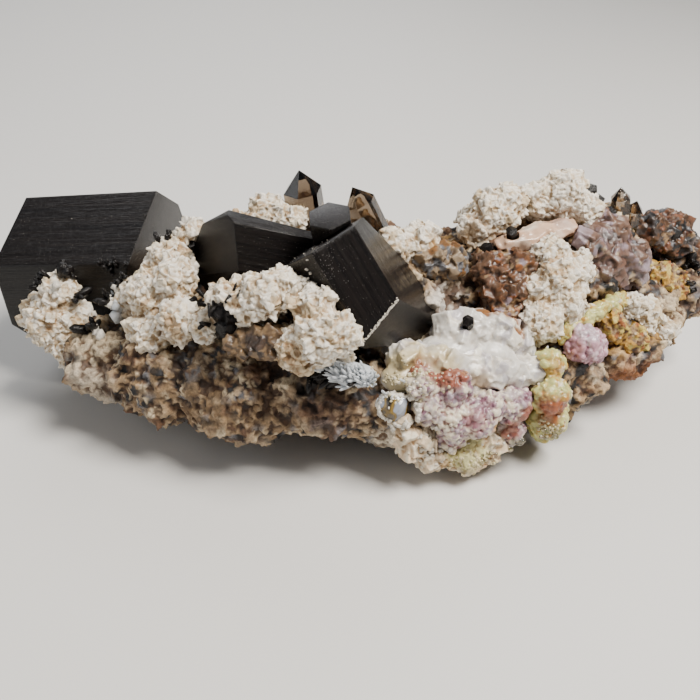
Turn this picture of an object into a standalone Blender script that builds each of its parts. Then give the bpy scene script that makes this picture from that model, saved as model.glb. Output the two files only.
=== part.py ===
"""Black tourmaline crystals on a lumpy feldspar matrix, as faceted solids.

Everything is modelled in millimetres, with +X to the right of the show side, -Y towards the
viewer and the flat resting face of the matrix at z = 0. The last step scales the solids to
metres and puts the origin at the bottom centre of the whole specimen.

Crystals are a block cut by flat faces. Rock and crusts are lumps melted into one skin and
roughened by seeded noise. Whatever is made later is carved to fit what stands there already.
"""
import math

import bmesh
import bpy
from mathutils import Matrix, Vector, noise

# Driving dimensions, mm
MM = 0.001
FIT_GAP = 0.3
CRUST_GAP = 0.5
BLOCK_SIZE = 120.0
RHOMB_TILT = 27.5
STEEP_TILT = 42.0
QUARTZ_TIP_TILT = 52.0
SLIVER = 0.0002

# Colours, roughness
FINISHES = {
    "schorl": ((0.008, 0.008, 0.009, 1.0), 0.12),
    "smoky_quartz": ((0.16, 0.11, 0.07, 1.0), 0.1),
    "pale_quartz": ((0.45, 0.47, 0.48, 1.0), 0.15),
    "matrix": ((0.46, 0.38, 0.29, 1.0), 0.85),
    "feldspar": ((0.78, 0.74, 0.65, 1.0), 0.8),
    "hyalite_white": ((0.72, 0.71, 0.68, 1.0), 0.3),
    "hyalite_green": ((0.56, 0.56, 0.3, 1.0), 0.3),
    "opal": ((0.42, 0.24, 0.27, 1.0), 0.45),
    "opal_pink": ((0.6, 0.38, 0.42, 1.0), 0.45),
    "iron_stained": ((0.3, 0.16, 0.08, 1.0), 0.7),
    "lavender_rock": ((0.36, 0.3, 0.3, 1.0), 0.7),
    "dark_rock": ((0.14, 0.09, 0.06, 1.0), 0.6),
    "ochre_rock": ((0.5, 0.36, 0.12, 1.0), 0.7),
    "mica": ((0.24, 0.15, 0.08, 1.0), 0.25),
    "porcelain": ((0.66, 0.5, 0.4, 1.0), 0.3),
}

# Big crystals: axis, a side's outward direction, and faces given as
# (angle round the axis from that side, tilt from the axis, a point on the face)
LEFT_AXIS, LEFT_TOP = (0.949, -0.273, 0.159), (-0.26, -0.388, 0.885)
LEFT_FRONT_CORNER = (-38.9, -1.9, 28.2)
LEFT_BACK_CORNER = (-35.6, 13.0, 35.7)
LEFT_FACES = [
    (0, 90, LEFT_FRONT_CORNER),
    (60, 90, LEFT_BACK_CORNER),
    (90, 90, (-33.4, 24.9, 24.4)),
    (-60, 90, LEFT_FRONT_CORNER),
    (-120, 90, (-36.7, -3.7, 11.4)),
    (180, 90, (-44.3, 19.5, 7.0)),
    (180, 11, LEFT_FRONT_CORNER),
    (-133, RHOMB_TILT, LEFT_FRONT_CORNER),
    (0, 180, (-66.4, 6.0, 23.6)),
    (-126, 122, (-61.2, 4.0, 9.9)),
]

MIDDLE_AXIS, MIDDLE_FRONT = (-0.914, -0.243, 0.324), (0.334, -0.905, 0.264)
MIDDLE_CORNER, MIDDLE_LOW_CORNER = (-18.3, -13.0, 40.8), (-29.7, -2.5, 25.6)
MIDDLE_FACES = [
    (0, 90, MIDDLE_CORNER),
    (-60, 90, MIDDLE_CORNER),
    (-120, 94, (-24.2, -6.5, 38.2)),
    (60, 90, (-17.8, -15.0, 33.3)),
    (120, 90, MIDDLE_LOW_CORNER),
    (180, 90, MIDDLE_LOW_CORNER),
    (38.6, RHOMB_TILT, MIDDLE_CORNER),
    (-81.4, RHOMB_TILT, (-21.6, -9.1, 39.8)),
    (-142.9, 26.3, MIDDLE_LOW_CORNER),
    (0, 180, (-3.0, -9.0, 34.0)),
]

CENTRE_AXIS, CENTRE_FRONT = (0.517, -0.278, -0.81), (0.186, -0.886, 0.423)
CENTRE_TOP_CORNER = (0.7, -20.0, 43.4)
CENTRE_LEFT_CORNER = (-5.4, -23.0, 39.8)
CENTRE_NOSE = (7.4, -23.6, 32.9)
CENTRE_FACES = [
    (0, 90, CENTRE_TOP_CORNER),
    (64, 90, CENTRE_TOP_CORNER),
    (120, 90, (11.2, -6.4, 28.6)),
    (180, 90, (-3.0, -8.5, 33.0)),
    (-120, 90, (-7.0, -15.5, 33.0)),
    (-60, 90, CENTRE_LEFT_CORNER),
    (21.4, STEEP_TILT, CENTRE_NOSE),
    (141.4, STEEP_TILT, (13.7, -10.5, 22.6)),
    (-98.6, STEEP_TILT, (-1.0, -24.0, 25.5)),
    (0, 180, CENTRE_TOP_CORNER),
    (154, 130, (4.5, -11.6, 38.6)),
]

BEHIND_AXIS, BEHIND_SIDE = (-0.12, -0.22, 0.97), (0.83, -0.06, 0.55)
BEHIND_TOP, BEHIND_RADIUS, BEHIND_LENGTH = (-3.2, -13.6, 42.3), 3.2, 14.0

# Small prisms: tip, axis, radius across flats, length
SMALL_TOURMALINES = {
    "tourmaline_under_centre": ((-4.6, -26.6, 18.6), (-0.35, -0.55, -0.75), 2.6, 12.0),
    "tourmaline_between_a": ((-27.8, -4.6, 34.2), (-0.2, -0.3, 0.93), 1.5, 8.0),
    "tourmaline_ridge_a": ((42.9, 8.0, 39.0), (-0.15, -0.2, 0.95), 1.2, 8.0),
    "tourmaline_ridge_b": ((45.0, 7.6, 37.2), (0.25, -0.2, 0.95), 1.0, 8.0),
    "tourmaline_ridge_c": ((47.6, 7.0, 34.8), (0.3, -0.3, 0.9), 1.1, 8.0),
    "tourmaline_notch": ((27.6, -2.4, 35.0), (-0.2, -0.5, 0.85), 0.9, 6.0),
    "tourmaline_bead": ((23.3, -3.6, 32.0), (-0.4, -0.7, 0.6), 1.1, 6.0),
    "tourmaline_dome": ((19.1, -18.0, 26.2), (-0.1, -0.6, 0.8), 0.9, 7.0),
    "tourmaline_tail": ((60.0, 8.4, 22.6), (0.1, -0.8, 0.6), 1.3, 7.0),
    "tourmaline_tail_back": ((67.0, 15.0, 21.5), (0.4, -0.4, 0.8), 1.6, 6.0),
}
AGGREGATE = [
    ((-20.4, -23.6, 31.6), (-0.3, -0.5, 0.8), 1.5, 7.0),
    ((-17.6, -24.2, 31.2), (0.35, -0.5, 0.8), 1.4, 7.0),
    ((-19.2, -25.0, 28.4), (0.0, -0.9, 0.3), 1.5, 7.0),
]
QUARTZ_POINTS = {
    "quartz_back_left": ((-8.8, 4.0, 43.1), (-0.12, -0.1, 0.98), 3.0, 15.0),
    "quartz_back_right": ((0.4, 6.0, 39.2), (-0.42, 0.0, 0.9), 2.5, 13.0),
    "quartz_right_a": ((49.8, 12.0, 36.8), (-0.1, 0.05, 0.99), 1.7, 11.0),
    "quartz_right_b": ((53.2, 12.0, 34.1), (0.1, -0.1, 0.99), 1.5, 9.0),
}

# Rock lumps, mm: centre, radii
MATRIX_LUMPS = [
    ((0.0, 4.0, 6.5), (44.0, 17.0, 9.5)),
    ((-41.0, -8.5, 12.0), (9.5, 8.5, 6.5)),
    ((-30.0, -12.5, 13.5), (11.5, 10.5, 7.5)),
    ((-18.0, -16.0, 14.0), (13.0, 11.0, 8.5)),
    ((-5.0, -17.0, 14.0), (12.0, 11.0, 8.0)),
    ((8.0, -17.5, 11.0), (11.5, 9.5, 8.0)),
    ((18.0, -16.5, 9.0), (11.5, 8.5, 7.5)),
    ((-24.0, -6.0, 18.5), (12.0, 11.0, 8.5)),
    ((-9.0, -6.0, 21.5), (13.0, 12.0, 8.5)),
    ((-40.0, 12.0, 11.0), (14.5, 14.0, 11.5)),
    ((-12.0, 4.0, 22.0), (14.0, 10.0, 9.0)),
    ((5.0, -4.0, 21.0), (13.0, 12.0, 9.5)),
    ((22.0, -11.0, 12.0), (13.5, 11.5, 7.5)),
    ((14.0, 3.0, 21.0), (13.0, 11.0, 9.0)),
    ((28.0, 2.0, 20.0), (12.0, 10.5, 10.5)),
    ((38.0, 4.0, 20.5), (12.0, 11.0, 11.0)),
    ((33.0, -11.0, 10.5), (11.0, 7.5, 8.0)),
    ((46.0, -0.5, 12.0), (11.0, 9.0, 7.5)),
    ((53.0, 8.5, 14.5), (10.5, 10.0, 8.5)),
    ((61.0, 12.5, 14.5), (7.0, 7.5, 7.0)),
    ((36.0, 11.0, 26.0), (10.0, 7.5, 8.0)),
    ((0.0, 9.0, 14.5), (40.0, 11.5, 10.5)),
    ((-7.0, 7.0, 25.0), (11.0, 7.5, 8.0)),
    ((4.0, 9.0, 23.0), (9.0, 7.0, 8.0)),
    ((47.0, 12.5, 24.0), (9.5, 7.0, 8.5)),
    ((64.0, 15.0, 16.5), (5.5, 6.0, 6.5)),
]
MATRIX_TRIANGLES = 1680
MATRIX_VOXEL = 1.0

# Crusts: finish, lumps as (centre, radius or radii), bump size, bump height, triangles
CRUSTS = {
    "feldspar_left": ("feldspar", [
        ((-51.4, -3.4, 23.0), 3.4), ((-53.2, -5.4, 18.4), 4.2), ((-50.8, -6.4, 14.6), 3.2),
        ((-55.6, -3.0, 18.8), 3.0), ((-49.6, -4.4, 18.6), 3.4)], 2.2, 0.8, 160),
    "feldspar_between": ("feldspar", [
        ((-30.6, -6.0, 30.4), 4.0), ((-32.6, -11.0, 26.6), 4.4), ((-32.6, -15.4, 21.8), 3.6),
        ((-27.6, -17.6, 25.6), 3.4), ((-29.0, -11.6, 30.0), 3.6), ((-37.0, -8.0, 25.0), 3.2),
        ((-26.6, -3.0, 34.2), 2.4)], 2.4, 0.9, 230),
    "feldspar_middle": ("feldspar", [
        ((-13.4, -22.4, 32.6), 3.6), ((-10.2, -21.6, 34.0), 2.8), ((-16.6, -22.4, 31.0), 2.6),
        ((-23.2, -20.0, 25.6), 2.2), ((-20.0, -20.6, 31.8), 2.0), ((-18.0, -20.0, 29.0), 4.0)],
        2.0, 0.7, 160),
    "feldspar_centre": ("feldspar", [
        ((-5.2, -24.4, 32.4), 2.8), ((-1.6, -28.0, 29.4), 3.0), ((-7.8, -26.4, 25.6), 3.6),
        ((-4.2, -27.0, 28.4), 4.0), ((-3.0, -24.0, 27.0), 4.0)], 2.0, 0.8, 160),
    "feldspar_back": ("feldspar", [
        ((-14.6, 2.6, 35.6), 3.2), ((-10.8, 0.6, 35.0), 2.8), ((-18.0, 2.0, 33.4), 2.6)],
        2.0, 0.7, 100),
    "feldspar_rear": ("feldspar", [
        ((7.4, -5.6, 33.0), 2.8), ((12.0, -2.0, 32.4), 3.2), ((9.6, -3.0, 31.4), 3.2)],
        2.0, 0.7, 100),
    "feldspar_knob": ("feldspar", [
        ((34.4, 8.0, 35.6), 3.4), ((38.6, 8.0, 37.0), 4.0), ((42.0, 7.0, 34.6), 3.2),
        ((38.0, 11.0, 34.0), 4.0)], 2.2, 0.8, 140),
    "feldspar_shoulder": ("feldspar", [
        ((25.6, 4.0, 35.0), 4.0), ((22.6, 3.0, 32.4), 3.0), ((28.4, 5.4, 36.6), 3.0),
        ((24.0, 7.0, 32.0), 4.0)], 2.2, 0.8, 140),
    "feldspar_right": ("feldspar", [
        ((35.6, -6.4, 27.4), 4.0), ((32.0, -7.0, 25.4), 3.4), ((38.4, -5.4, 28.0), 3.4),
        ((32.4, -12.0, 21.8), 3.4), ((37.0, -9.0, 24.0), 3.4), ((34.6, -3.0, 30.0), 3.2)],
        2.2, 0.8, 170),
    "feldspar_ledge": ("feldspar", [
        ((50.6, -3.0, 20.2), 2.2), ((53.8, -1.2, 17.0), 2.6), ((57.2, 0.8, 13.4), 2.8),
        ((60.8, 2.8, 10.4), 3.0)], 2.0, 0.6, 110),
    "quartz_golden": ("smoky_quartz", [
        ((14.6, -4.6, 29.8), 3.0), ((17.4, -4.4, 29.4), 2.6), ((12.6, -5.4, 30.4), 2.0)],
        2.6, 0.9, 80),
    "iron_stained_quartz": ("iron_stained", [
        ((26.6, -6.6, 25.0), 4.4), ((25.8, -10.0, 21.6), 3.4), ((28.8, -4.6, 28.6), 3.4),
        ((24.6, -3.6, 28.0), 3.4)], 2.6, 1.0, 140),
    "lavender_rock": ("lavender_rock", [
        ((44.8, 2.4, 26.2), 5.4), ((50.4, 4.6, 25.0), 4.6), ((46.6, 5.4, 30.4), 4.2),
        ((42.6, 1.0, 29.6), 3.4)], 4.0, 0.8, 110),
    "dark_knob": ("dark_rock", [
        ((61.6, 15.6, 25.0), 4.6), ((57.0, 13.6, 27.2), 3.4), ((65.6, 16.6, 21.8), 3.2)],
        2.6, 1.0, 120),
    "yellow_knob": ("ochre_rock", [
        ((58.2, 6.8, 20.0), 3.6), ((61.4, 8.0, 18.6), 3.0)], 2.0, 0.7, 80),
    "ochre_step": ("ochre_rock", [
        ((46.0, -7.0, 18.2), 2.8), ((50.6, -5.4, 14.2), 3.4), ((54.2, -3.6, 10.6), 3.2)],
        3.4, 1.0, 90),
    "hyalite_dome": ("hyalite_white", [
        ((24.4, -14.4, 20.6), 4.2), ((20.4, -14.6, 21.4), 3.8), ((16.8, -15.2, 22.0), 3.4),
        ((28.6, -14.4, 19.0), 3.0)], 3.6, 0.5, 110),
    "hyalite_sheet": ("hyalite_white", [
        ((9.2, -21.0, 20.6), (3.6, 3.4, 3.0)), ((14.0, -20.6, 19.8), (4.2, 3.6, 2.8)),
        ((19.2, -20.2, 18.6), (4.2, 3.6, 2.8)), ((24.6, -20.0, 17.4), (4.4, 3.4, 2.6)),
        ((29.4, -18.4, 16.4), (3.6, 3.0, 2.6))], 3.4, 0.4, 140),
    "hyalite_green": ("hyalite_green", [
        ((33.4, -18.0, 17.6), 2.6), ((33.2, -21.6, 13.6), 3.2), ((33.6, -20.8, 8.4), 3.4),
        ((33.4, -19.0, 5.0), 2.4), ((33.4, -18.6, 11.0), 3.4)], 2.2, 0.5, 140),
    "opal_crust": ("opal", [
        ((11.2, -25.6, 18.8), 2.4), ((16.4, -24.8, 17.6), 3.0), ((12.8, -26.6, 14.8), 2.6),
        ((16.6, -26.8, 12.6), 3.0), ((20.4, -26.0, 12.4), 3.2), ((22.6, -24.6, 13.8), 2.6),
        ((26.6, -22.6, 12.6), 3.2), ((26.6, -22.6, 7.6), 2.6), ((16.4, -26.4, 9.2), 2.4)],
        1.7, 0.6, 260),
    "opal_pink": ("opal_pink", [
        ((39.6, -13.6, 18.8), 3.2), ((41.6, -12.4, 17.6), 2.2)], 1.5, 0.5, 100),
    "feldspar_foot": ("feldspar", [
        ((9.6, -27.2, 9.0), 2.8), ((13.8, -26.4, 5.4), 3.2), ((19.2, -25.6, 4.6), 3.2),
        ((8.2, -27.0, 12.2), 2.0), ((23.4, -24.0, 5.4), 2.4)], 1.8, 0.6, 120),
    "quartz_eye": ("pale_quartz", [
        ((6.8, -27.4, 15.6), (2.6, 2.2, 2.4))], 2.6, 0.3, 80),
    "quartz_blue": ("pale_quartz", [
        ((-0.8, -27.0, 21.8), (2.6, 2.2, 2.2)), ((1.8, -26.4, 20.8), (2.2, 2.0, 2.0))],
        2.0, 0.7, 90),
    "mica_lens": ("mica", [
        ((-12.9, -25.3, 26.6), (3.4, 2.2, 2.6)), ((-16.9, -24.6, 25.6), (2.6, 2.0, 2.0))],
        3.0, 0.3, 90),
    "porcelain_slab": ("porcelain", [
        ((27.4, -1.6, 31.6), (2.6, 2.4, 2.0)), ((30.6, -0.6, 31.8), (3.0, 2.6, 2.2)),
        ((34.0, 0.8, 32.4), (3.2, 2.8, 2.4)), ((37.6, 2.2, 33.2), (3.0, 2.6, 1.8))],
        5.0, 0.3, 90),
}

# A pale round ridge that runs up the right side
RIDGE_START, RIDGE_END = (36.4, -13.4, 20.6), (48.4, -3.2, 21.4)
RIDGE_RADIUS, RIDGE_BEADS = 1.5, 11


def clear_scene():
    for obj in list(bpy.data.objects):
        bpy.data.objects.remove(obj, do_unlink=True)


def make_material(name):
    color, roughness = FINISHES[name]
    material = bpy.data.materials.get(name)
    if material is None:
        material = bpy.data.materials.new(name)
        material.use_nodes = True
        material.diffuse_color = color
        shader = material.node_tree.nodes["Principled BSDF"]
        shader.inputs["Base Color"].default_value = color
        shader.inputs["Roughness"].default_value = roughness
        shader.inputs["Metallic"].default_value = 0.0
    return material


def object_from(name, bm):
    mesh = bpy.data.meshes.new(name)
    bm.to_mesh(mesh)
    bm.free()
    obj = bpy.data.objects.new(name, mesh)
    bpy.context.scene.collection.objects.link(obj)
    return obj


def bmesh_of(obj):
    bm = bmesh.new()
    bm.from_mesh(obj.data)
    return bm


def drop(obj):
    mesh = obj.data
    bpy.data.objects.remove(obj, do_unlink=True)
    bpy.data.meshes.remove(mesh)


def apply_modifiers(obj):
    """Swap the object's mesh for what its modifiers make of it."""
    depsgraph = bpy.context.evaluated_depsgraph_get()
    result = bpy.data.meshes.new_from_object(obj.evaluated_get(depsgraph))
    old = obj.data
    obj.modifiers.clear()
    obj.data = result
    bpy.data.meshes.remove(old)


def face_direction(axis, side, angle, tilt):
    """The outward direction of a crystal face, from its angle and tilt in degrees."""
    third = side.cross(axis)
    around = side * math.cos(math.radians(angle)) + third * math.sin(math.radians(angle))
    return axis * math.cos(math.radians(tilt)) + around * math.sin(math.radians(tilt))


def cut_block(planes, grow):
    """A block cut by planes given as (outward direction, point), each moved out by grow."""
    middle = sum((Vector(point) for _, point in planes), Vector()) / len(planes)
    bm = bmesh.new()
    bmesh.ops.create_cube(bm, size=BLOCK_SIZE, matrix=Matrix.Translation(middle))
    for direction, point in planes:
        cut_face(bm, Vector(point) + direction * grow, direction)
    return bm


def cut_face(bm, point, direction):
    """Cut off what lies outside a plane, and close the cut with one flat face."""
    geometry = bm.verts[:] + bm.edges[:] + bm.faces[:]
    result = bmesh.ops.bisect_plane(
        bm, geom=geometry, dist=1e-5, plane_co=point, plane_no=direction, clear_outer=True)
    rim = [item for item in result["geom_cut"] if isinstance(item, bmesh.types.BMEdge)]
    if rim:
        bmesh.ops.edgenet_fill(bm, edges=rim)
    bmesh.ops.recalc_face_normals(bm, faces=bm.faces[:])


def square_up(axis, side):
    """Unit axis, and the side's direction made square to it."""
    axis = Vector(axis).normalized()
    side = Vector(side)
    side = (side - axis * side.dot(axis)).normalized()
    return axis, side


def big_crystal(axis, side, faces):
    axis, side = square_up(axis, side)
    planes = [(face_direction(axis, side, angle, tilt), point) for angle, tilt, point in faces]
    return lambda grow: cut_block(planes, grow)


def prism(tip, axis, radius, length, tip_faces, tip_tilt):
    """A six-sided prism that ends in a low pyramid at its tip and is flat at its root."""
    axis, side = square_up(axis, (0.3, -1.0, 0.2))
    tip = Vector(tip)
    shoulder = tip - axis * radius * math.tan(math.radians(tip_tilt)) * 0.9
    planes = []
    for step in range(6):
        direction = face_direction(axis, side, step * 60, 90)
        planes.append((direction, tip + direction * radius))
    for step in range(tip_faces):
        direction = face_direction(axis, side, step * 360 / tip_faces, tip_tilt)
        planes.append((direction, tip if tip_faces > 3 else tip - axis * 0.2))
    planes.append((-axis, shoulder - axis * length))
    return lambda grow: cut_block(planes, grow)


def behind_crystal():
    """The flat-topped prism that stands behind the centre crystal."""
    axis, side = square_up(BEHIND_AXIS, BEHIND_SIDE)
    top = Vector(BEHIND_TOP)
    planes = [(axis, top), (-axis, top - axis * BEHIND_LENGTH)]
    for step in range(6):
        direction = face_direction(axis, side, step * 60, 90)
        planes.append((direction, top + direction * BEHIND_RADIUS))
    return lambda grow: cut_block(planes, grow)


def melt(lumps, voxel):
    """Ellipsoids melted into one closed skin."""
    bm = bmesh.new()
    for centre, radii in lumps:
        if not isinstance(radii, tuple):
            radii = (radii, radii, radii)
        place = Matrix.Translation(centre) @ Matrix.Diagonal((*radii, 1.0))
        bmesh.ops.create_icosphere(bm, subdivisions=4, radius=1.0, matrix=place)
    obj = object_from("melted", bm)
    remesh = obj.modifiers.new("melt", "REMESH")
    remesh.mode = "VOXEL"
    remesh.voxel_size = voxel
    apply_modifiers(obj)
    return obj


def push_out(obj, height_at):
    """Move each point along its normal by the height that a function gives there."""
    mesh = obj.data
    moves = [vertex.normal * height_at(vertex.co) for vertex in mesh.vertices]
    for vertex, move in zip(mesh.vertices, moves):
        vertex.co += move


def thin_out(obj, triangles):
    obj.data.calc_loop_triangles()
    decimate = obj.modifiers.new("facets", "DECIMATE")
    decimate.ratio = min(1.0, triangles / len(obj.data.loop_triangles))
    decimate.use_collapse_triangulate = True
    apply_modifiers(obj)


def knobs(point, size):
    """Rounded bumps about one size across, from 0 in the grooves to 1 on top."""
    distances = noise.voronoi(point / size)[0]
    return max(0.0, 1.0 - distances[0] * 1.6)


def crust_solid(lumps, bump_size, bump_height, triangles):
    obj = melt(lumps, bump_size * 0.22)
    push_out(obj, lambda point: bump_height * (knobs(point, bump_size) - 0.35))
    thin_out(obj, triangles)
    return obj


def rock_height(point):
    """Ledges, lumps and pits of the matrix, mm."""
    broad = noise.noise(point / 11.0) * 1.6
    ledges = noise.noise(Vector((point.x / 16.0, point.y / 16.0, point.z / 4.2))) * 1.2
    lumpy = (knobs(point, 5.2) - 0.4) * 1.9
    return broad + ledges + lumpy


def matrix_solid():
    obj = melt(MATRIX_LUMPS, MATRIX_VOXEL)
    push_out(obj, rock_height)
    thin_out(obj, MATRIX_TRIANGLES)
    bm = bmesh_of(obj)
    drop(obj)
    cut_face(bm, Vector(), Vector((0.0, 0.0, -1.0)))
    return object_from("matrix", bm)


def grown(obj, distance):
    """A copy of a crust with its skin moved out, for carving its neighbours."""
    bm = bmesh_of(obj)
    bm.normal_update()
    moves = [vertex.normal * distance for vertex in bm.verts]
    for vertex, move in zip(bm.verts, moves):
        vertex.co += move
    return bm


def bounds_of(bm):
    xs, ys, zs = zip(*(vertex.co for vertex in bm.verts))
    return (min(xs), min(ys), min(zs)), (max(xs), max(ys), max(zs))


def boxes_meet(one, two):
    return all(one[0][k] < two[1][k] and two[0][k] < one[1][k] for k in range(3))


def carve(obj, cutter_bm):
    """Take a cutter away from a solid."""
    cutter = object_from("cutter", cutter_bm)
    boolean = obj.modifiers.new("carve", "BOOLEAN")
    boolean.operation = "DIFFERENCE"
    boolean.solver = "EXACT"
    boolean.object = cutter
    apply_modifiers(obj)
    drop(cutter)


def islands(bm):
    """The separate shells of a mesh, each as a list of faces."""
    left = set(bm.faces)
    shells = []
    while left:
        shell = []
        edge_of_search = [left.pop()]
        while edge_of_search:
            face = edge_of_search.pop()
            shell.append(face)
            for edge in face.edges:
                for other in edge.link_faces:
                    if other in left:
                        left.remove(other)
                        edge_of_search.append(other)
        shells.append(shell)
    return shells


def keep_largest(obj):
    """Drop crumbs that carving left, and slivers."""
    bm = bmesh_of(obj)
    bmesh.ops.dissolve_degenerate(bm, dist=SLIVER, edges=bm.edges[:])
    bmesh.ops.triangulate(bm, faces=bm.faces[:])
    shells = sorted(islands(bm), key=lambda shell: sum(face.calc_area() for face in shell))
    crumbs = [face for shell in shells[:-1] for face in shell]
    if crumbs:
        bmesh.ops.delete(bm, geom=crumbs, context="FACES")
    loose = [vertex for vertex in bm.verts if not vertex.link_faces]
    bmesh.ops.delete(bm, geom=loose, context="VERTS")
    bm.to_mesh(obj.data)
    bm.free()


class Specimen:
    """The pieces made so far, each with the cutter that clears room for it."""

    def __init__(self):
        self.cutters = []
        self.objects = []

    def fit(self, obj):
        box = bounds_of(bmesh_of(obj))
        for cutter in self.cutters:
            bm = cutter()
            if boxes_meet(box, bounds_of(bm)):
                carve(obj, bm)
            else:
                bm.free()
        keep_largest(obj)

    def add(self, name, obj, finish, cutter):
        obj.name = name
        self.fit(obj)
        obj.data.name = name
        obj.data.materials.clear()
        obj.data.materials.append(make_material(finish))
        self.cutters.append(cutter)
        self.objects.append(obj)

    def add_crystal(self, name, make, finish):
        self.add(name, object_from(name, make(0.0)), finish, lambda: make(FIT_GAP))

    def add_crust(self, name, obj, finish):
        whole = object_from(name + "_whole", bmesh_of(obj))
        whole.hide_render = True
        whole.display_type = "WIRE"
        self.add(name, obj, finish, lambda: grown(whole, CRUST_GAP))
        return whole


def aggregate_solid():
    """Three short tourmalines grown together."""
    solids = [object_from("prism", prism(*spec, 3, RHOMB_TILT)(0.0)) for spec in AGGREGATE]
    body = solids[0]
    for other in solids[1:]:
        union = body.modifiers.new("join", "BOOLEAN")
        union.operation = "UNION"
        union.solver = "EXACT"
        union.object = other
        apply_modifiers(body)
        drop(other)
    return body


def ridge_lumps():
    start, end = Vector(RIDGE_START), Vector(RIDGE_END)
    beads = []
    for step in range(RIDGE_BEADS):
        share = step / (RIDGE_BEADS - 1)
        rise = Vector((0.0, 0.0, math.sin(share * math.pi) * 0.8))
        beads.append((tuple(start.lerp(end, share) + rise), RIDGE_RADIUS))
    return beads


def build():
    clear_scene()
    specimen = Specimen()
    wholes = []

    specimen.add_crystal("tourmaline_centre", big_crystal(CENTRE_AXIS, CENTRE_FRONT, CENTRE_FACES), "schorl")
    specimen.add_crystal("tourmaline_behind", behind_crystal(), "schorl")
    specimen.add_crystal("tourmaline_middle", big_crystal(MIDDLE_AXIS, MIDDLE_FRONT, MIDDLE_FACES), "schorl")
    specimen.add_crystal("tourmaline_left", big_crystal(LEFT_AXIS, LEFT_TOP, LEFT_FACES), "schorl")
    for name, spec in SMALL_TOURMALINES.items():
        specimen.add_crystal(name, prism(*spec, 3, RHOMB_TILT), "schorl")
    wholes.append(specimen.add_crust("tourmaline_cluster", aggregate_solid(), "schorl"))
    for name, spec in QUARTZ_POINTS.items():
        specimen.add_crystal(name, prism(*spec, 6, QUARTZ_TIP_TILT), "smoky_quartz")

    wholes.append(specimen.add_crust("matrix", matrix_solid(), "matrix"))
    for name, (finish, lumps, bump_size, bump_height, triangles) in CRUSTS.items():
        crust = crust_solid(lumps, bump_size, bump_height, triangles)
        wholes.append(specimen.add_crust(name, crust, finish))
    ridge = crust_solid(ridge_lumps(), 2.0, 0.4, 130)
    wholes.append(specimen.add_crust("hyalite_ridge", ridge, "hyalite_green"))

    for whole in wholes:
        drop(whole)
    settle(specimen.objects)


def settle(objects):
    """Scale to metres, with the origin at the bottom centre of the whole specimen."""
    corners = [bounds_of(bmesh_of(obj)) for obj in objects]
    low = Vector([min(box[0][k] for box in corners) for k in range(3)])
    high = Vector([max(box[1][k] for box in corners) for k in range(3)])
    middle = (low + high) / 2
    move = Matrix.Translation((-middle.x, -middle.y, -low.z))
    for obj in objects:
        obj.data.transform(Matrix.Scale(MM, 4) @ move)
        obj.data.update()


build()
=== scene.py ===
"""The looks of a loose specimen of black tourmaline on a feldspar matrix.

Crystals keep their flat faces and get fine grooves along their length. Rock and crusts are the
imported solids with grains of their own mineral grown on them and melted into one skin. Lengths
are in millimetres, in the part's modelling frame, until a mesh is finished.
"""
import math
from itertools import product

import bmesh
import bpy
import numpy as np
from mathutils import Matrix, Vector, kdtree
from mathutils.bvhtree import BVHTree


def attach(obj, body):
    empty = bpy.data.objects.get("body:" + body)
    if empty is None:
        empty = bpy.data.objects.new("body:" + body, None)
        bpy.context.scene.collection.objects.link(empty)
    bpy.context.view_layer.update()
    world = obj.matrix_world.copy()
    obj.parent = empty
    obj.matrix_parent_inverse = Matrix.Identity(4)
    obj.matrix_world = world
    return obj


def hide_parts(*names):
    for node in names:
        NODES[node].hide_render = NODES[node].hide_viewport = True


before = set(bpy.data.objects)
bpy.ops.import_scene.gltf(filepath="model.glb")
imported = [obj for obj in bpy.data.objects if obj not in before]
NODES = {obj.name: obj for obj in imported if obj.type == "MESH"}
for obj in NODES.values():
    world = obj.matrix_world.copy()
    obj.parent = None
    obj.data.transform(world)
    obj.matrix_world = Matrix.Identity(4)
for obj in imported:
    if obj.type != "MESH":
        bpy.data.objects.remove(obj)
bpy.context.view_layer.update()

# The row frame's origin in the modelling frame, mm
ORIGIN = np.array([1.98, 2.65, 0.0])
MM = 0.001

# Camera, mm and degrees
CAMERA_PLACE = (0.0, -144.0, 99.0)
CAMERA_PITCH = 32.0
CAMERA_FOCUS_PX = 900.0
PHOTO_PX = 700.0
SENSOR_MM = 36.0

# Colours, linear
CREAM = (0.56, 0.45, 0.30)
WHITE = (0.74, 0.69, 0.60)
IVORY = (0.66, 0.58, 0.45)
TAN = (0.29, 0.19, 0.10)
BUFF = (0.42, 0.30, 0.18)
BROWN = (0.10, 0.05, 0.025)
RUST = (0.24, 0.08, 0.02)
OCHRE = (0.40, 0.22, 0.04)
YELLOW = (0.50, 0.38, 0.10)
LIME = (0.48, 0.47, 0.18)
COAL = (0.010, 0.009, 0.010)
SLATE = (0.13, 0.13, 0.14)
LAVENDER = (0.27, 0.21, 0.24)
PURPLE = (0.24, 0.12, 0.165)
BRICK = (0.23, 0.06, 0.03)
MILK = (0.66, 0.63, 0.58)
PEACH = (0.58, 0.38, 0.26)
UMBER = (0.22, 0.14, 0.07)
SULPHUR = (0.58, 0.55, 0.26)
RIM_BROWN = (0.28, 0.12, 0.04)

# Finished pieces that small crystals may stand on
SKINS = []


def to_row(points):
    """Modelling-frame millimetres to row-frame metres."""
    return (np.asarray(points, dtype=float) - ORIGIN) * MM


def to_model(points):
    """Row-frame metres to modelling-frame millimetres."""
    return np.asarray(points, dtype=float) / MM + ORIGIN


# Noise on arrays of points

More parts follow.
